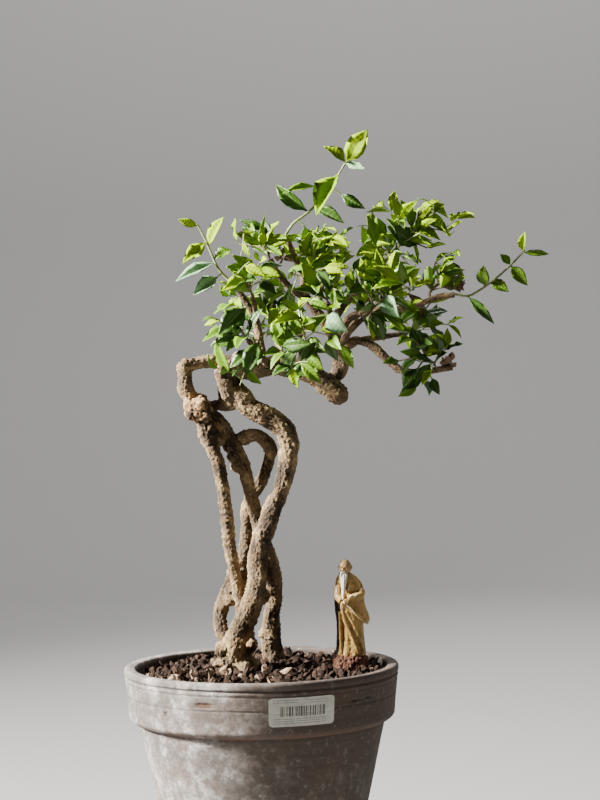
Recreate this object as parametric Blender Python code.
"""A Barbados cherry bonsai of several twisted stems, in a round clay pot.

Sizes and places are in millimetres, with +Z up and the origin under the middle of the pot.
mesh_object() turns them into metres. -Y is the side that faces the viewer.
"""

import math
import random
from collections import namedtuple

import bmesh
import bpy
import numpy as np
from mathutils import Quaternion, Vector

MM = 0.001
GAP = 0.3
UP = Vector((0, 0, 1))

# Pot
POT_HEIGHT = 175.0
POT_SIDES = 36
RIM_RADIUS = 95.0
COLLAR_HEIGHT = 37.0
COLLAR_FOOT_RADIUS = 91.5
LIP_ROUND = 2.0
LIP_INNER_RADIUS = 87.0
GROOVE_DEPTH = 0.8
GROOVE_BELOW_RIM = 5.0
BODY_TOP_RADIUS = 85.3
FOOT_RADIUS = 55.0
FOOT_CHAMFER = 1.5
POT_WALL = 7.5
POT_FLOOR = 9.0
TURNED_SHARP = math.radians(30)

# Soil
SOIL_TOP = 171.0
SOIL_DROP = 7.0
SOIL_DROP_FROM = 46.0
SOIL_RINGS = (22.0, 44.0, 62.0, 76.0)
GROUND = SOIL_TOP + GAP

# Wood
STATION_STEP = 9.5
TRUNK_SIDES = 8
BOUGH_SIDES = 6
LUMP = 0.05
ROOT_FLARE = 4.2
ROOT_FLARE_FALL = 24.0
BURL_CENTRE = Vector((-41, -2, 352.5))
BURL_RADIUS = 9.0
KNOT_CENTRE = Vector((-17.5, 0, 381))
KNOT_RADIUS = 9.4
BURL_SEED = 3
KNOT_SEED = 5
KNOB_LUMP = 0.12
BURIED_SHARE = 0.5
BARK_SHARP = math.radians(50)
SPUR_STEP = 6.0
ROOT_SPURS = (
    (((-20, -8, 180), (-24, -13, 177), (-27, -16, 175)), 6.5, 5.0),
    (((-18, -7, 184), (-9, -4, 177), (1, -1, 168)), 6.5, 4.0),
    (((-20, -8, 181), (-15, -15, 174), (-11, -20, 167)), 6.0, 4.0),
)

# Figurine on the soil
FIGURE_FOOT = Vector((61, -5, GROUND))
FIGURE_SIDES = 10
HEAD_RADIUS = 5.0
HEAD_CENTRE = FIGURE_FOOT + Vector((-2, -1, 70))
FIGURE_ROBE = (
    (0, 0, 0, 13.5, 11), (6, 0, 0, 13, 10.5), (11, 0.5, 0, 11, 9), (12, 1, 0, 10.5, 8.5),
    (30, 2, 0, 8.5, 7.5), (45, 2, 0, 9.5, 7.5), (56, 0, 0, 9, 6.5), (62, -1, 0, 5.5, 5),
    (66, -2, -0.5, 3, 3),
)
FIGURE_PARTS = (
    ((30, 11.5, -1, 2.5, 3), (36, 11, -1.5, 4, 4.5), (48, 8, -2, 4, 4), (56, 5, -1, 3, 3)),
    ((8, -8, 3, 4, 5), (30, -6, 4, 4, 5), (52, -5, 4, 4.5, 4.5), (60, -2, 3, 3, 3)),
    ((40, -3, -8, 0.8, 0.8), (50, -3, -7.5, 2.2, 1.6), (60, -2.5, -6, 3, 2.2), (66, -2, -3.5, 3, 2.5)),
    ((43, -1, -7, 3.5, 2.5), (47, -1, -7.5, 4.5, 3), (51, 0, -6, 3.5, 3)),
)

# Foliage
TWIG_SIDES = 3
STEM_RADIUS = 1.8
STEM_TIP_RADIUS = 1.2
SHOOT_RADIUS = 1.0
TIP_RADIUS = 0.85
PAIR_STEP = 14.0
LEAF_LENGTHS = (19.0, 27.0)
TIP_LEAF_LENGTHS = (14.0, 22.0)
LEAF_WIDTH_SHARE = 0.5
LEAF_THICKNESS = 0.6
LEAF_WIDEST_AT = 0.45
LEAF_FOLD_SHARE = 0.10
LEAF_ARCH_SHARE = 0.06
LEAF_ROOT_DEPTH = 0.1
SNAP = 4.0
LEAF_APART = 1.8
LIMB_CLEAR = 1.2
CELL_CLEAR = 0.5
LEAF_TRIES = 5
OUTLINE_SHORTER = (1, 0.88, 0.76)
SEEDED_SHORTER = 0.08
SHOOT_ENDS = (0.72, 0.58, 0.44)
SHOOTS_TO = 0.85
AHEAD = 0.5
TIP_AHEAD = 1.1
LIFT = (-0.25, 0.3)
LEAN_SPREAD = 0.35
ROLL_SPREAD = 0.4
NEXT_TURN = 0.5
STEM_LEAD = 2.0
STEM_STEP = 9.0
STEM_BARE = 0.45
SHOOTS_FROM = 4.5
SHOOT_BARE = 0.4
SHOOT_RISE = 0.08
LAST_LEAF_AT = 0.97
TWIG_CHECKS = 8
NEAR_CHECKS = 16
FACING = Vector((-0.3, -0.5, 0.6)).normalized()
CROWN_CENTRE = Vector((52, 0, 425))
OUTWARD_LEAN = 0.5
LEAF_OVERHANG = 1.25
GOLDEN_ANGLE = math.pi * (3 - math.sqrt(5))

Limb = namedtuple("Limb", "name first last sides route ends")
Mass = namedtuple("Mass", "name bough at way centre reach shoots seed")

# Stems, from the soil to the crown. Each is cut clear of the ones before it.
STEMS = (
    Limb("trunk_main", 6.9, 6.4, TRUNK_SIDES,
         ((-24, -5, 160), (-21, -7, 175), (-15, -10, 197), (-6, -13, 216), (-1, -14, 236), (0, -13, 254),
          (9, -11, 280), (18, -7, 304), (22, -4, 325)), "ground open"),
    Limb("trunk_main_upper", 6.5, 7.9, TRUNK_SIDES,
         ((22, -4, 325), (20, -3, 336), (8, -3, 345), (-6, -3, 354), (-14, -2, 364), (-17, 0, 376)),
         "open buried"),
    Limb("trunk_left", 4.0, 5.2, TRUNK_SIDES,
         ((-8, -11, 207), (-14, -6, 222), (-20, -6, 256), (-24, -6, 292), (-28, -5, 316), (-40, -3, 346)),
         "buried buried"),
    Limb("trunk_right", 5.1, 4.8, TRUNK_SIDES,
         ((10, 42, 160), (7, 39, 180), (7, 31, 202), (10, 25, 220), (8, 18, 242), (-1, 8, 273),
          (-6, 2, 294), (-12, 3, 317), (-24, 3, 340), (-36, 0, 352)), "ground buried"),
    Limb("arch", 4.7, 4.5, TRUNK_SIDES,
         ((-18, 3, 329), (-9, 6, 332.5), (1, 7, 333), (8, 8.5, 326), (9.6, 9, 319)), "buried open"),
    Limb("trunk_twisted", 4.4, 5.2, TRUNK_SIDES,
         ((9.6, 9, 323), (3, 12, 303), (-7, 15, 286), (-9, 16, 268), (-12, 12, 249), (-24, 6, 224),
          (-28, 0, 205), (-21, -7, 182)), "open buried"),
    Limb("loop_rise", 5.4, 5.1, TRUNK_SIDES,
         ((-42, -1, 355), (-48.5, -1, 365), (-49.5, -1, 374), (-50.5, 0, 383)), "buried open"),
    Limb("loop_cross", 4.9, 4.2, TRUNK_SIDES,
         ((-50.5, 0, 382.5), (-36, 2.5, 385), (-20, 2, 386)), "open buried"),
    Limb("bridge", 4.4, 4.6, TRUNK_SIDES, ((-38, 3, 356), (-25, 6, 355), (-10, 0, 357)), "buried buried"),
    Limb("thin_stem", 2.2, 2.3, BOUGH_SIDES,
         ((-25, 6, 356), (-25.5, 6, 366), (-22, 2, 379)), "buried buried"),
    Limb("bough_main", 7.0, 6.6, TRUNK_SIDES,
         ((-16, 0, 378), (1, 1, 379), (14, 1, 381), (29, 0, 379), (43, -1.5, 373), (52, -3, 365),
          (56, -4, 358)),
         "buried open"),
    Limb("crown_trunk", 5.9, 2.2, TRUNK_SIDES,
         ((53, -1, 368), (59, 3, 382), (58, 5, 394), (48, 6, 411), (36, 5, 427), (34, 4, 438),
          (38, 3, 447)),
         "buried open"),
)

# Boughs, from their limb to where they enter a mass of leaves
BOUGHS = (
    Limb("bough_left_upper", 3.3, 1.8, BOUGH_SIDES,
         ((5, 0, 381), (3, -2, 398), (0, -3, 414), (-9, -5, 430), (-18, -7, 441)), "buried open"),
    Limb("bough_left_mid", 2.2, 1.7, BOUGH_SIDES,
         ((1, -3, 411), (0, -10, 422), (-2, -16, 430)), "buried open"),
    Limb("bough_left_low", 3.1, 2.0, BOUGH_SIDES,
         ((8, -1, 380), (2, -10, 391), (-5, -17, 399)), "buried open"),
    Limb("bough_top_left", 2.8, 1.8, BOUGH_SIDES,
         ((36, 5, 427), (25, 0, 435), (16, -4, 445), (11, -6, 455)), "buried open"),
    Limb("bough_top", 2.5, 1.7, BOUGH_SIDES,
         ((34, 4, 437), (31, 8, 449), (26, 8, 462), (23, 7, 471)), "buried open"),
    Limb("bough_right_upper", 2.9, 1.8, BOUGH_SIDES,
         ((51, 6, 407), (62, 8, 423), (74, 6, 435), (86, 3, 447)), "buried open"),
    Limb("bough_right", 3.2, 1.9, BOUGH_SIDES,
         ((56, 5, 400), (66, 3, 414), (80, 0, 418), (96, -3, 418.5), (113, -5, 422), (127, -6, 427),
          (138, -6, 428)),
         "buried open"),
    Limb("bough_right_front", 2.8, 1.9, BOUGH_SIDES,
         ((58, 4, 394), (65, -12, 404), (74, -24, 412)), "buried open"),
    Limb("bough_front", 3.0, 1.9, BOUGH_SIDES,
         ((30, -1, 378), (32, -18, 387), (33, -30, 396)), "buried open"),
    Limb("bough_centre", 2.5, 1.8, BOUGH_SIDES,
         ((51, 6, 407), (52, -5, 415), (50, -13, 424)), "buried open"),
    Limb("bough_back_right", 2.9, 1.9, BOUGH_SIDES,
         ((59, 5, 394), (66, 22, 407), (74, 36, 421)), "buried open"),
    Limb("bough_back_left", 3.0, 1.9, BOUGH_SIDES,
         ((19, 2, 380), (16, 20, 394), (13, 33, 407)), "buried open"),
    Limb("bough_back_top", 2.6, 1.8, BOUGH_SIDES,
         ((43, 6, 418), (45, 20, 430), (48, 31, 442)), "buried open"),
    Limb("bough_mid_right", 2.8, 1.8, BOUGH_SIDES,
         ((59, 4, 390), (71, 12, 398), (85, 14, 400), (106, 16, 403)), "buried open"),
    Limb("bough_low_right", 3.5, 2.1, BOUGH_SIDES,
         ((59, 2, 388), (67, -2, 397), (80, -8, 394), (96, -14, 379), (110, -15, 375), (135, -16, 378)),
         "buried open"),
)

# Masses of leaves: the bough each grows from and how far along it, the points its stem runs
# through, the middle and half-width of its space, and the number and seed of its shoots
MASSES = (
    Mass("leaves_left_tip", "bough_left_upper", 1.0, ((-25, -9, 449), (-33, -10, 468), (-39, -10, 480)),
         (-34, -11, 459), (24, 17, 28), 0, 11),
    Mass("leaves_left_mid", "bough_left_mid", 1.0, ((-3, -23, 438),), (-3, -25, 442), (23, 18, 17), 6, 12),
    Mass("leaves_left_low", "bough_left_low", 1.0, ((-9, -22, 405),), (-9, -26, 402), (24, 18, 36), 5, 13),
    Mass("leaves_top_left", "bough_top_left", 1.0, ((8, -9, 466),), (6, -8, 468), (32, 20, 16), 6, 14),
    Mass("leaves_top_centre", "crown_trunk", 1.0, ((42, 1, 456),), (45, -2, 461), (25, 20, 19), 7, 15),
    Mass("leaves_top_shoot", "bough_top", 1.0, ((27, 5, 480), (39, 8, 489), (52, 6, 503), (64, 4, 521)),
         (52, 6, 508), (39, 20, 40), 0, 16),
    Mass("leaves_front", "bough_front", 1.0, ((34, -40, 402),), (34, -42, 399), (32, 20, 32), 6, 17),
    Mass("leaves_centre", "bough_centre", 1.0, ((49, -21, 433),), (48, -25, 436), (30, 19, 20), 7, 18),
    Mass("leaves_right_upper", "bough_right_upper", 1.0, ((99, 1, 462), (113, -1, 474)),
         (106, -1, 470), (46, 24, 27), 5, 19),
    Mass("leaves_right_front", "bough_right_front", 1.0, ((84, -33, 423),),
         (88, -35, 427), (30, 21, 27), 7, 20),
    Mass("leaves_right_end", "bough_right", 0.84, ((129, -4, 440),), (131, -5, 442), (22, 20, 17), 5, 21),
    Mass("leaves_far_shoot", "bough_right", 1.0,
         ((147, -6, 427), (160, -6, 434), (175, -6, 446), (187, -6, 458)),
         (172, -7, 438), (36, 16, 34), 0, 22),
    Mass("leaves_right_low", "bough_low_right", 0.86, ((115, -17, 386),),
         (114, -20, 383), (25, 17, 24), 5, 23),
    Mass("leaves_right_mid", "bough_mid_right", 1.0, ((115, 18, 409),),
         (118, 18, 411), (25, 19, 21), 6, 24),
    Mass("leaves_back_right", "bough_back_right", 1.0, ((83, 46, 433),),
         (85, 47, 436), (35, 26, 28), 7, 25),
    Mass("leaves_back_left", "bough_back_left", 1.0, ((8, 40, 418),), (5, 43, 424), (31, 26, 28), 7, 26),
    Mass("leaves_back_top", "bough_back_top", 1.0, ((49, 39, 453),), (48, 42, 459), (30, 25, 23), 6, 27),
)

# Leaves that draw the crown's outline: where each is held, its tip and its width as seen from the front
OUTLINE_LEAVES = {
    "leaves_top_shoot": (
        ((65, 4, 522), (80, -2, 544), 15), ((64, 4, 522), (49, 0, 533), 8),
        ((65, 3, 521), (78, -6, 516), 7), ((61, 4, 512), (43, -8, 484), 16),
        ((61, 6, 500), (83, 2, 486), 8), ((44, 8, 506), (20, 4, 501), 6),
        ((37, 8, 491), (15, 12, 509), 10), ((44, 8, 489), (63, 0, 479), 9),
        ((36, 8, 487), (46, -4, 478), 8),
    ),
    "leaves_left_tip": (
        ((-40, -10, 481), (-52, -12, 483), 6), ((-32, -10, 464), (-20, -16, 484), 10),
        ((-33, -10, 467), (-49, -18, 452), 10), ((-28, -10, 453), (-54, -16, 440), 9),
        ((-25, -13, 443), (-42, -20, 430), 10), ((-28, -9, 455), (-13, -12, 462), 9),
    ),
    "leaves_left_mid": (
        ((-4, -20, 446), (-19, -26, 449), 9), ((-2, -24, 442), (-22, -32, 432), 11),
        ((2, -26, 446), (21, -34, 440), 9),
    ),
    "leaves_top_left": (
        ((6, -10, 467), (-19, -14, 475), 10), ((8, -12, 464), (27, -22, 467), 10),
        ((10, -4, 475), (-10, 0, 483), 6), ((13, -8, 468), (5, 6, 483), 8),
    ),
    "leaves_left_low": (
        ((-6, -22, 421), (-25, -28, 402), 15), ((3, -27, 398), (-7, -32, 374), 13),
        ((0, -20, 392), (-18, -20, 380), 11), ((-10, -22, 400), (-20, -26, 391), 7),
    ),
    "leaves_front": (
        ((33, -42, 412), (12, -48, 408), 9), ((49, -40, 414), (63, -50, 402), 13),
        ((34, -42, 390), (46, -48, 377), 12), ((38, -38, 381), (24, -41, 371), 10),
        ((27, -42, 400), (14, -50, 398), 9), ((39, -44, 403), (34, -50, 414), 8),
    ),
    "leaves_centre": (
        ((44, -28, 432), (32, -36, 450), 12), ((56, -26, 440), (74, -32, 446), 9),
        ((52, -28, 432), (64, -38, 422), 12),
    ),
    "leaves_right_upper": (
        ((112, -4, 463), (91, -14, 476), 13), ((101, 0, 474), (114, -6, 494), 10),
        ((113, 0, 474), (124, -4, 491), 8), ((115, 2, 488), (130, 0, 494), 6),
        ((131, 0, 473), (124, -4, 486), 6), ((128, 0, 470), (151, 4, 474), 6),
        ((88, 0, 462), (67, -6, 460), 9), ((90, -2, 464), (79, -8, 478), 9),
    ),
    "leaves_far_shoot": (
        ((160, -6, 434), (158, -10, 448), 10), ((162, -6, 435), (175, -12, 429), 9),
        ((177, -6, 447), (170, -4, 456), 6), ((177, -6, 447), (188, -10, 433), 9),
        ((187, -6, 458), (187, -8, 471), 6), ((187, -6, 458), (204, -6, 455), 5),
        ((148, -6, 427), (165, -8, 407), 7),
    ),
    "leaves_right_low": (
        ((111, -20, 378), (100, -28, 364), 11), ((120, -20, 371), (125, -24, 359), 7),
        ((114, -20, 386), (127, -27, 388), 8), ((112, -18, 386), (98, -24, 389), 8),
    ),
    "leaves_right_front": (
        ((89, -38, 427), (97, -47, 411), 12), ((82, -34, 436), (72, -40, 452), 10),
        ((92, -34, 438), (110, -40, 446), 9),
    ),
    "leaves_right_end": (
        ((132, -4, 438), (148, -8, 446), 8),
    ),
}

Leaf = namedtuple("Leaf", "base tip normal width")
Way = namedtuple("Way", "points radii")


def clear_scene():
    for obj in list(bpy.data.objects):
        bpy.data.objects.remove(obj, do_unlink=True)


def material(name, colour, roughness):
    """A plain Principled material, made once and shared by the pieces of one stuff."""
    mat = bpy.data.materials.get(name) or bpy.data.materials.new(name)
    mat.use_nodes = True
    shader = mat.node_tree.nodes["Principled BSDF"]
    shader.inputs["Base Color"].default_value = (*colour, 1)
    shader.inputs["Roughness"].default_value = roughness
    shader.inputs["Metallic"].default_value = 0
    return mat


def clay():
    return material("clay", (0.23, 0.19, 0.165), 0.85)


def soil_stuff():
    return material("soil", (0.11, 0.07, 0.045), 0.95)


def bark():
    return material("bark", (0.36, 0.27, 0.19), 0.85)


def leaf_green():
    return material("leaf", (0.09, 0.26, 0.04), 0.4)


def painted_clay():
    return material("painted_clay", (0.52, 0.34, 0.10), 0.6)


def mesh_object(name, mesh_tool, mat):
    """A new object from a bmesh that was drawn in millimetres."""
    bmesh.ops.recalc_face_normals(mesh_tool, faces=mesh_tool.faces[:])
    bmesh.ops.scale(mesh_tool, vec=(MM, MM, MM), verts=mesh_tool.verts[:])
    mesh = bpy.data.meshes.new(name)
    mesh_tool.to_mesh(mesh)
    mesh_tool.free()
    mesh.materials.append(mat)
    obj = bpy.data.objects.new(name, mesh)
    bpy.context.collection.objects.link(obj)
    return obj


def turned(name, profile, sides, mat):
    """A body of revolution about Z. The profile is (radius, height) from axis to axis."""
    tool = bmesh.new()
    verts = [tool.verts.new((radius, 0, height)) for radius, height in profile]
    edges = [tool.edges.new(pair) for pair in zip(verts, verts[1:])]
    bmesh.ops.spin(tool, geom=verts + edges, axis=(0, 0, 1), cent=(0, 0, 0), angle=2 * math.pi, steps=sides,
                   use_merge=True)
    bmesh.ops.remove_doubles(tool, verts=tool.verts[:], dist=0.001)
    obj = mesh_object(name, tool, mat)
    obj.data.shade_smooth()
    obj.data.set_sharp_from_angle(angle=TURNED_SHARP)
    return obj


def pot_outer_radius(height):
    """The body's outer radius below the collar."""
    share = height / (POT_HEIGHT - COLLAR_HEIGHT)
    return FOOT_RADIUS + (BODY_TOP_RADIUS - FOOT_RADIUS) * share


def pot_inner_radius(height):
    """The inner radius, which widens behind the collar."""
    collar_foot = POT_HEIGHT - COLLAR_HEIGHT
    if height <= collar_foot:
        return pot_outer_radius(height) - POT_WALL
    share = min(1, (height - collar_foot) / (COLLAR_HEIGHT / 2))
    below = BODY_TOP_RADIUS - POT_WALL
    return below + (LIP_INNER_RADIUS - below) * share


def build_pot():
    foot = POT_HEIGHT - COLLAR_HEIGHT
    groove = POT_HEIGHT - GROOVE_BELOW_RIM
    profile = [
        (0, 0),
        (FOOT_RADIUS - FOOT_CHAMFER, 0),
        (FOOT_RADIUS, FOOT_CHAMFER),
        (BODY_TOP_RADIUS, foot),
        (COLLAR_FOOT_RADIUS - LIP_ROUND, foot),
        (COLLAR_FOOT_RADIUS, foot + LIP_ROUND),
        (RIM_RADIUS - GROOVE_DEPTH, groove - 1),
        (RIM_RADIUS - GROOVE_DEPTH, groove),
        (RIM_RADIUS, groove + 1),
        (RIM_RADIUS, POT_HEIGHT - LIP_ROUND),
        (RIM_RADIUS - LIP_ROUND, POT_HEIGHT),
        (LIP_INNER_RADIUS + LIP_ROUND, POT_HEIGHT),
        (LIP_INNER_RADIUS, POT_HEIGHT - LIP_ROUND),
        (pot_inner_radius(foot + COLLAR_HEIGHT / 2), foot + COLLAR_HEIGHT / 2),
        (pot_inner_radius(foot), foot),
        (pot_inner_radius(POT_FLOOR), POT_FLOOR),
        (0, POT_FLOOR),
    ]
    turned("pot", profile, POT_SIDES, clay())


def soil_height(x, y):
    """Level soil, which falls away towards the left of the pot."""
    past = (-x - SOIL_DROP_FROM) / (LIP_INNER_RADIUS - SOIL_DROP_FROM)
    return SOIL_TOP - SOIL_DROP * min(1, max(0, past))


def build_soil():
    """The filling of the pot, a little clear of its wall."""
    foot = POT_HEIGHT - COLLAR_HEIGHT
    bend = foot + COLLAR_HEIGHT / 2
    rings = [
        [(pot_inner_radius(height) - GAP, height)] * POT_SIDES
        for height in (POT_FLOOR + GAP, foot, bend)
    ]
    turns = [2 * math.pi * step / POT_SIDES for step in range(POT_SIDES)]
    for radius in (LIP_INNER_RADIUS - GAP, *reversed(SOIL_RINGS)):
        spots = [(radius * math.cos(turn), radius * math.sin(turn)) for turn in turns]
        rings.append([(radius, soil_height(x, y)) for x, y in spots])
    tool = bmesh.new()
    drawn = [
        [tool.verts.new((r * math.cos(turn), r * math.sin(turn), z)) for (r, z), turn in zip(ring, turns)]
        for ring in rings
    ]
    for low, high in zip(drawn, drawn[1:]):
        bridge(tool, low, high)
    bottom = tool.verts.new((0, 0, POT_FLOOR + GAP))
    top = tool.verts.new((0, 0, SOIL_TOP))
    for ring, centre in ((drawn[0], bottom), (drawn[-1], top)):
        for step in range(POT_SIDES):
            tool.faces.new((ring[step], ring[(step + 1) % POT_SIDES], centre))
    mesh_object("soil", tool, soil_stuff())


def bridge(tool, low, high):
    """A band of four-sided faces between two rings of the same count."""
    for step in range(len(low)):
        after = (step + 1) % len(low)
        tool.faces.new((low[step], low[after], high[after], high[step]))


def smooth_way(route, step):
    """Points about one step apart on a Catmull-Rom curve through the route."""
    knots = [Vector(point) for point in route]
    knots = [2 * knots[0] - knots[1], *knots, 2 * knots[-1] - knots[-2]]
    way = []
    for before, start, end, after in zip(knots, knots[1:], knots[2:], knots[3:]):
        count = max(1, round((end - start).length / step))
        for piece in range(count):
            t = piece / count
            way.append(0.5 * (
                2 * start
                + (end - before) * t
                + (2 * before - 5 * start + 4 * end - after) * t ** 2
                + (3 * start - before - 3 * end + after) * t ** 3
            ))
    way.append(knots[-2].copy())
    return way


def frames_along(way):
    """A tangent and two cross directions at each point, carried along without twist."""
    pairs = zip([way[0], *way[:-1]], [*way[1:], way[-1]])
    tangents = [(after - before).normalized() for before, after in pairs]
    side = tangents[0].orthogonal().normalized()
    frames = []
    for tangent in tangents:
        side = (side - tangent * side.dot(tangent)).normalized()
        frames.append((tangent, side, tangent.cross(side)))
    return frames


def limb_radii(limb, way):
    """Radii with the limb's taper, seeded swellings and the flare over a root. Buried ends are thinner."""
    rng = random.Random(limb.name)
    lengths = [0.0]
    for a, b in zip(way, way[1:]):
        lengths.append(lengths[-1] + (b - a).length)
    radii = []
    for point, length in zip(way, lengths):
        taper = limb.first + (limb.last - limb.first) * length / lengths[-1]
        swelling = taper * LUMP * rng.uniform(-1, 1)
        flare = 0
        if limb.ends.startswith("ground"):
            flare = ROOT_FLARE * math.exp(-max(0, point.z - GROUND) / ROOT_FLARE_FALL)
        radii.append(taper + swelling + flare)
    if limb.ends.startswith("buried"):
        radii[0] *= BURIED_SHARE
    if limb.ends.endswith("buried"):
        radii[-1] *= BURIED_SHARE
    return radii


def tube(tool, way, radii, sides):
    """A closed tube of round sections along the way."""
    rings = []
    for point, radius, (_, side, other) in zip(way, radii, frames_along(way)):
        ring = []
        for step in range(sides):
            turn = 2 * math.pi * step / sides
            ring.append(tool.verts.new(point + radius * (math.cos(turn) * side + math.sin(turn) * other)))
        rings.append(ring)
    for low, high in zip(rings, rings[1:]):
        bridge(tool, low, high)
    tool.faces.new(rings[0])
    tool.faces.new(rings[-1])


def limb_way(limb):
    way = smooth_way(limb.route, STATION_STEP)
    return Way(way, limb_radii(limb, way))


def limb_mesh(limb, fatter):
    """The limb's tube, or with more radius the room that its neighbours leave for it."""
    way, radii = limb_way(limb)
    tool = bmesh.new()
    if fatter:
        along = (way[-1] - way[-2]).normalized()
        way = [*way[:-1], way[-1] + along * fatter]
    tube(tool, way, [radius + fatter for radius in radii], limb.sides)
    return tool


def knob_mesh(centre, radius, seed, fatter):
    """A lumpy ball of wood."""
    rng = random.Random(seed)
    tool = bmesh.new()
    bmesh.ops.create_icosphere(tool, subdivisions=2, radius=1)
    for vert in tool.verts:
        reach = radius * (1 + KNOB_LUMP * rng.uniform(-1, 1)) + fatter
        vert.co = centre + vert.co.normalized() * reach
    return tool


def apply_boolean(obj, others, operation, solver="EXACT"):
    """Cuts the others from the object, or joins them to it, and removes them."""
    group = bpy.data.collections.new("boolean_pieces")
    for other in others:
        group.objects.link(other)
    modifier = obj.modifiers.new("boolean", "BOOLEAN")
    modifier.operation = operation
    modifier.operand_type = "COLLECTION"
    modifier.collection = group
    modifier.solver = solver
    graph = bpy.context.evaluated_depsgraph_get()
    joined = bpy.data.meshes.new_from_object(obj.evaluated_get(graph))
    obj.modifiers.remove(modifier)
    old = obj.data
    obj.data = joined
    joined.name = obj.name
    bpy.data.meshes.remove(old)
    for other in others:
        bpy.data.objects.remove(other, do_unlink=True)
    bpy.data.collections.remove(group)


def cut_at_ground(obj):
    """A flat cut at ground level, with nothing left below it."""
    tool = bmesh.new()
    tool.from_mesh(obj.data)
    everything = tool.verts[:] + tool.edges[:] + tool.faces[:]
    cut = bmesh.ops.bisect_plane(tool, geom=everything, plane_co=(0, 0, GROUND * MM), plane_no=(0, 0, 1),
                                 clear_inner=True)
    rim = [item for item in cut["geom_cut"] if isinstance(item, bmesh.types.BMEdge)]
    bmesh.ops.contextual_create(tool, geom=rim)
    bmesh.ops.recalc_face_normals(tool, faces=tool.faces[:])
    tool.to_mesh(obj.data)
    tool.free()


def box_of(tool):
    corners = [vert.co for vert in tool.verts]
    return (
        Vector([min(co[axis] for co in corners) for axis in range(3)]),
        Vector([max(co[axis] for co in corners) for axis in range(3)]),
    )


def boxes_meet(one, other):
    return all(one[0][axis] <= other[1][axis] and other[0][axis] <= one[1][axis] for axis in range(3))


def trunk_foot_mesh(index, fatter):
    """One surface root at the foot of the main stem."""
    route, first, last = ROOT_SPURS[index]
    way = smooth_way(route, SPUR_STEP)
    radii = [first + (last - first) * step / (len(way) - 1) + fatter for step in range(len(way))]
    tool = bmesh.new()
    tube(tool, way, radii, BOUGH_SIDES)
    return tool


def drop_scraps(obj):
    """Keeps the largest body of the mesh and drops what a cut left loose beside it."""
    tool = bmesh.new()
    tool.from_mesh(obj.data)
    left = set(tool.verts)
    bodies = []
    while left:
        body = set()
        waiting = [left.pop()]
        while waiting:
            vert = waiting.pop()
            body.add(vert)
            linked = {edge.other_vert(vert) for edge in vert.link_edges} & left
            left -= linked
            waiting += linked
        bodies.append(body)
    bodies.sort(key=len)
    for body in bodies[:-1]:
        bmesh.ops.delete(tool, geom=list(body), context="VERTS")
    tool.to_mesh(obj.data)
    tool.free()


def build_wood():
    """Burl, knot, stems and boughs, each cut clear of those made before it."""
    makers = [
        ("burl", lambda fatter: knob_mesh(BURL_CENTRE, BURL_RADIUS, BURL_SEED, fatter)),
        ("top_knot", lambda fatter: knob_mesh(KNOT_CENTRE, KNOT_RADIUS, KNOT_SEED, fatter)),
    ]
    makers += [(limb.name, lambda fatter, own=limb: limb_mesh(own, fatter)) for limb in (*STEMS, *BOUGHS)]
    grounded = {limb.name for limb in STEMS if limb.ends.startswith("ground")}
    spurs = [lambda fatter, own=index: trunk_foot_mesh(own, fatter) for index in range(len(ROOT_SPURS))]
    earlier = []
    for name, maker in makers:
        tool = maker(0)
        box = box_of(tool)
        obj = mesh_object(name, tool, bark())
        shapes = [maker]
        if name == "trunk_main":
            apply_boolean(obj, [mesh_object("spur", spur(0), bark()) for spur in spurs], "UNION")
            shapes += spurs
        near = [shape for shape, reach in earlier if boxes_meet(box, reach)]
        rooms = [mesh_object("room", shape(GAP), bark()) for shape in near]
        if rooms:
            apply_boolean(obj, rooms, "DIFFERENCE")
            drop_scraps(obj)
        if name in grounded:
            cut_at_ground(obj)
        earlier += [(shape, box_of(shape(GAP))) for shape in shapes]
        obj.data.shade_smooth()
        obj.data.set_sharp_from_angle(angle=BARK_SHARP)


def limb_named(name):
    return next(limb for limb in (*STEMS, *BOUGHS) if limb.name == name)


def wood_segments():
    """Starts, ends and radii of every stretch of wood, for telling how near a leaf comes."""
    starts, ends, radii = [], [], []
    for limb in (*STEMS, *BOUGHS):
        way = limb_way(limb)
        starts += way.points[:-1]
        ends += way.points[1:]
        radii += [max(pair) for pair in zip(way.radii, way.radii[1:])]
    for centre, radius in ((BURL_CENTRE, BURL_RADIUS), (KNOT_CENTRE, KNOT_RADIUS)):
        starts.append(centre)
        ends.append(centre + UP)
        radii.append(radius * (1 + KNOB_LUMP))
    return np.array(starts), np.array(ends), np.array(radii)


def room_from_wood(points, wood):
    """The least distance from any of the points to the surface of the wood."""
    starts, ends, radii = wood
    spots = np.array(points)[:, None, :]
    runs = (ends - starts)[None]
    share = ((spots - starts) * runs).sum(2) / np.maximum((runs * runs).sum(2), 1e-9)
    nearest = starts + np.clip(share, 0, 1)[..., None] * runs
    return (np.linalg.norm(spots - nearest, axis=2) - radii).min()


class Space:
    """The part of the crown a mass keeps to: an ellipsoid, up to flat borders with its neighbours."""

    def __init__(self, mass):
        self.centre = Vector(mass.centre)
        self.reach = Vector(mass.reach)
        self.borders = []
        for other in MASSES:
            if other is mass:
                continue
            away = Vector(other.centre) - self.centre
            share = sum(mass.reach) / (sum(mass.reach) + sum(other.reach))
            self.borders.append((away.normalized(), away.length * share - CELL_CLEAR))

    def within_borders(self, points):
        offsets = [point - self.centre for point in points]
        return all(offset.dot(normal) <= room for offset in offsets for normal, room in self.borders)

    def within_reach(self, points):
        """Inside the ellipsoid, which leaves may pass by a little."""
        scaled = [[(point - self.centre)[axis] / self.reach[axis] for axis in range(3)] for point in points]
        return all(Vector(spot).length < LEAF_OVERHANG for spot in scaled)


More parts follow.
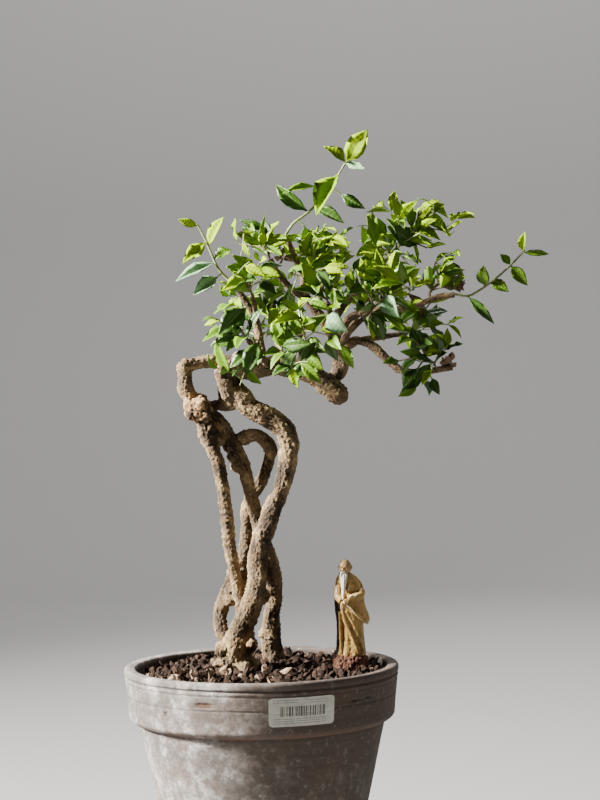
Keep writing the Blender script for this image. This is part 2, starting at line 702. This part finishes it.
def leaf_points(leaf):
    """The four corners and some points between them, which tell what the leaf touches."""
    axis = leaf.tip - leaf.base
    middle = leaf.base + axis * LEAF_WIDEST_AT
    side = axis.cross(leaf.normal).normalized() * leaf.width / 2
    middle = middle + leaf.normal * axis.length * LEAF_ARCH_SHARE
    left = middle - side
    right = middle + side
    points = [leaf.tip, left, right, middle]
    points += [(leaf.tip + corner) / 2 for corner in (left, right, middle)]
    points += [(leaf.base + corner) / 2 for corner in (left, right, middle)]
    return points


def facing_normal(axis, lean, roll):
    """A direction across the leaf's length that turns its upper side to the light."""
    wanted = FACING + lean
    across = wanted - axis * wanted.dot(axis)
    if across.length < 0.1:
        across = axis.orthogonal()
    return Quaternion(axis, roll) @ across.normalized()


def twig(start, end, rise):
    """A tapering twig between two points, which may rise in an arch on its way."""
    if not rise:
        return Way([start, end], [SHOOT_RADIUS, TIP_RADIUS])
    middle = start.lerp(end, 0.5) + UP * (end - start).length * rise
    return Way([start, middle, end], [SHOOT_RADIUS, (SHOOT_RADIUS + TIP_RADIUS) / 2, TIP_RADIUS])


def along(way, share):
    """The point and the direction at this share of the way's points."""
    place = share * (len(way) - 1)
    index = min(int(place), len(way) - 2)
    return way[index].lerp(way[index + 1], place - index), (way[index + 1] - way[index]).normalized()


class Growth:
    """The twigs and leaves of one mass, grown by its seed."""

    def __init__(self, mass, wood):
        self.mass = mass
        self.wood = wood
        self.space = Space(mass)
        self.rng = random.Random(mass.seed)
        self.outward = (self.space.centre - CROWN_CENTRE).normalized()
        self.twigs = []
        self.leaves = []
        self.filled = []
        self.grow_stem()
        for base, tip, width in OUTLINE_LEAVES.get(mass.name, ()):
            self.outline_leaf(Vector(base), Vector(tip), width)
        for index in range(mass.shoots):
            self.grow_shoot(index)
        if mass.shoots:
            self.leaf_pairs(self.twigs[0].points, STEM_BARE)

    def grow_stem(self):
        """The stem starts just clear of the bough's tip, or of its side."""
        bough = limb_way(limb_named(self.mass.bough))
        place, tangent = along(bough.points, self.mass.at)
        if self.mass.at < 1:
            outward = Vector(self.mass.way[0]) - place
            outward = (outward - tangent * outward.dot(tangent)).normalized()
            radius = max(bough.radii[int(self.mass.at * (len(bough.radii) - 1)):][:2])
            start = place + outward * (radius + GAP)
        else:
            outward = tangent
            start = place + outward * GAP
        route = [start, start + outward * STEM_LEAD, *[Vector(point) for point in self.mass.way]]
        points = smooth_way(route, STEM_STEP)
        count = len(points) - 1
        thinning = (STEM_TIP_RADIUS - STEM_RADIUS) / count
        radii = [STEM_RADIUS + thinning * index for index in range(count + 1)]
        self.twigs.append(Way(points, radii))

    def free(self, points, clear):
        return self.space.within_borders(points) and room_from_wood(points, self.wood) > clear

    def add_twig(self, start, end, rise):
        """Adds the twig if it is clear of the wood all along and inside the mass's borders."""
        shoot = twig(start, end, rise)
        spots = [along(shoot.points, step / TWIG_CHECKS)[0] for step in range(TWIG_CHECKS + 1)]
        if not self.free(spots, SHOOT_RADIUS + GAP):
            return None
        self.twigs.append(shoot)
        return shoot

    def nearest_on_twigs(self, spot):
        """Points inside the twigs, the nearest first, not counting their very ends."""
        shares = [LAST_LEAF_AT * step / NEAR_CHECKS for step in range(1, NEAR_CHECKS + 1)]
        spots = [along(way.points, share)[0] for way in self.twigs for share in shares]
        return sorted(spots, key=lambda point: (point - spot).length)

    def add_leaf(self, leaf, seeded=True):
        """Keeps the leaf if it is clear of wood and other masses and, if seeded, of its mass's leaves."""
        points = leaf_points(leaf)
        if not self.free(points, LIMB_CLEAR):
            return False
        if seeded and not self.space.within_reach(points):
            return False
        if seeded and self.filled:
            others = np.array(self.filled)[None]
            apart = np.linalg.norm(np.array(points)[:, None, :] - others, axis=2).min()
            if apart < LEAF_APART:
                return False
        self.filled += points
        self.leaves.append(leaf)
        return True

    def outline_leaf(self, base, tip, width):
        """A leaf at a stated place, on a twig of its own if no twig passes there."""
        starts = self.nearest_on_twigs(base)
        if (starts[0] - base).length < SNAP:
            base = starts[0]
        else:
            ends = [(start, base + (base - start).normalized() * TIP_RADIUS) for start in starts]
            if not any(self.add_twig(start, end, 0) for start, end in ends):
                return
        axis = tip - base
        full = max(width, LEAF_WIDTH_SHARE * axis.length)
        roll = math.acos(width / full) * (1 if len(self.leaves) % 2 else -1)
        normal = facing_normal(axis.normalized(), Vector(), roll)
        for shorter in OUTLINE_SHORTER:
            if self.add_leaf(Leaf(base, base + axis * shorter, normal, full), seeded=False):
                return

    def grow_shoot(self, index):
        """A side shoot of the stem, towards its own part of the mass's space."""
        height = 1 - 2 * (index + 0.5) / self.mass.shoots
        turn = index * GOLDEN_ANGLE + self.mass.seed
        level = math.sqrt(1 - height * height)
        aim = Vector((level * math.cos(turn), level * math.sin(turn), height))
        aim = Vector([aim[axis] * self.space.reach[axis] for axis in range(3)])
        stem = self.twigs[0].points
        clear = min(SHOOTS_TO, SHOOTS_FROM / sum((b - a).length for a, b in zip(stem, stem[1:])))
        start, _ = along(stem, self.rng.uniform(clear, SHOOTS_TO))
        for shorter in SHOOT_ENDS:
            tip = self.space.centre + aim * shorter
            shoot = self.add_twig(start, tip, SHOOT_RISE)
            if shoot:
                self.leaf_pairs(shoot.points, SHOOT_BARE)
                return

    def leaf_pairs(self, points, bare):
        """Pairs of leaves along a shoot, each a quarter turn from the last, and one pair at its tip."""
        length = sum((b - a).length for a, b in zip(points, points[1:]))
        count = max(1, round(length * (1 - bare) / PAIR_STEP))
        turn = self.rng.uniform(0, math.pi)
        for pair in range(count + 1):
            place, tangent = along(points, bare + (LAST_LEAF_AT - bare) * pair / count)
            ahead = TIP_AHEAD if pair == count else AHEAD
            sizes = TIP_LEAF_LENGTHS if pair == count else LEAF_LENGTHS
            for half in (0, math.pi):
                self.try_leaf(place, tangent, turn + half, ahead, self.rng.uniform(*sizes))
            turn += math.pi / 2

    def try_leaf(self, place, tangent, turn, ahead, length):
        for attempt in range(LEAF_TRIES):
            side = Quaternion(tangent, turn + attempt * NEXT_TURN) @ tangent.orthogonal().normalized()
            axis = (side + tangent * ahead + UP * self.rng.uniform(*LIFT)).normalized()
            sway = Vector([self.rng.uniform(-LEAN_SPREAD, LEAN_SPREAD) for _ in range(3)])
            size = length * (1 - SEEDED_SHORTER * attempt)
            normal = facing_normal(axis, self.outward * OUTWARD_LEAN + sway,
                                   self.rng.uniform(-ROLL_SPREAD, ROLL_SPREAD))
            if self.add_leaf(Leaf(place, place + axis * size, normal, size * LEAF_WIDTH_SHARE)):
                return


def leaf_mesh(leaf):
    """Eight faces: a folded, arched blade, with its root sunk into the twig."""
    axis = (leaf.tip - leaf.base).normalized()
    length = (leaf.tip - leaf.base).length
    side = axis.cross(leaf.normal).normalized() * leaf.width / 2
    middle = leaf.base + axis * length * LEAF_WIDEST_AT + leaf.normal * length * LEAF_ARCH_SHARE
    fold = leaf.normal * leaf.width * LEAF_FOLD_SHARE
    half = leaf.normal * LEAF_THICKNESS / 2
    tool = bmesh.new()
    root = tool.verts.new(leaf.base - axis * LEAF_ROOT_DEPTH)
    tip = tool.verts.new(leaf.tip)
    rim = [root, tool.verts.new(middle - side + fold), tip, tool.verts.new(middle + side + fold)]
    for apex in (tool.verts.new(middle + half), tool.verts.new(middle - half)):
        for step in range(4):
            tool.faces.new((rim[step], rim[(step + 1) % 4], apex))
    return tool


def build_masses():
    wood = wood_segments()
    for mass in MASSES:
        growth = Growth(mass, wood)
        pieces = []
        for way in growth.twigs:
            tool = bmesh.new()
            tube(tool, way.points, way.radii, TWIG_SIDES)
            pieces.append(mesh_object(mass.name, tool, leaf_green()))
        pieces += [mesh_object("leaf", leaf_mesh(leaf), leaf_green()) for leaf in growth.leaves]
        apply_boolean(pieces[0], pieces[1:], "UNION", "MANIFOLD")
        drop_scraps(pieces[0])


def lofted(name, sections, sides, mat):
    """A closed body through level ellipses, each (height, middle x, middle y, half x, half y)."""
    tool = bmesh.new()
    rings = []
    for height, x, y, half_x, half_y in sections:
        ring = []
        for step in range(sides):
            turn = 2 * math.pi * step / sides
            spot = (x + half_x * math.cos(turn), y + half_y * math.sin(turn), height)
            ring.append(tool.verts.new(FIGURE_FOOT + Vector(spot)))
        rings.append(ring)
    for low, high in zip(rings, rings[1:]):
        bridge(tool, low, high)
    tool.faces.new(rings[0])
    tool.faces.new(rings[-1])
    return mesh_object(name, tool, mat)


def build_figurine():
    """A small glazed sage in a long robe, standing on a rock."""
    glaze = painted_clay()
    body = lofted("figurine", FIGURE_ROBE, FIGURE_SIDES, glaze)
    parts = [lofted("figure_part", sections, FIGURE_SIDES, glaze) for sections in FIGURE_PARTS]
    head = bmesh.new()
    bmesh.ops.create_icosphere(head, subdivisions=2, radius=HEAD_RADIUS)
    bmesh.ops.translate(head, vec=HEAD_CENTRE, verts=head.verts[:])
    parts.append(mesh_object("figure_head", head, glaze))
    apply_boolean(body, parts, "UNION")


def main():
    clear_scene()
    build_pot()
    build_soil()
    build_figurine()
    build_wood()
    build_masses()


main()
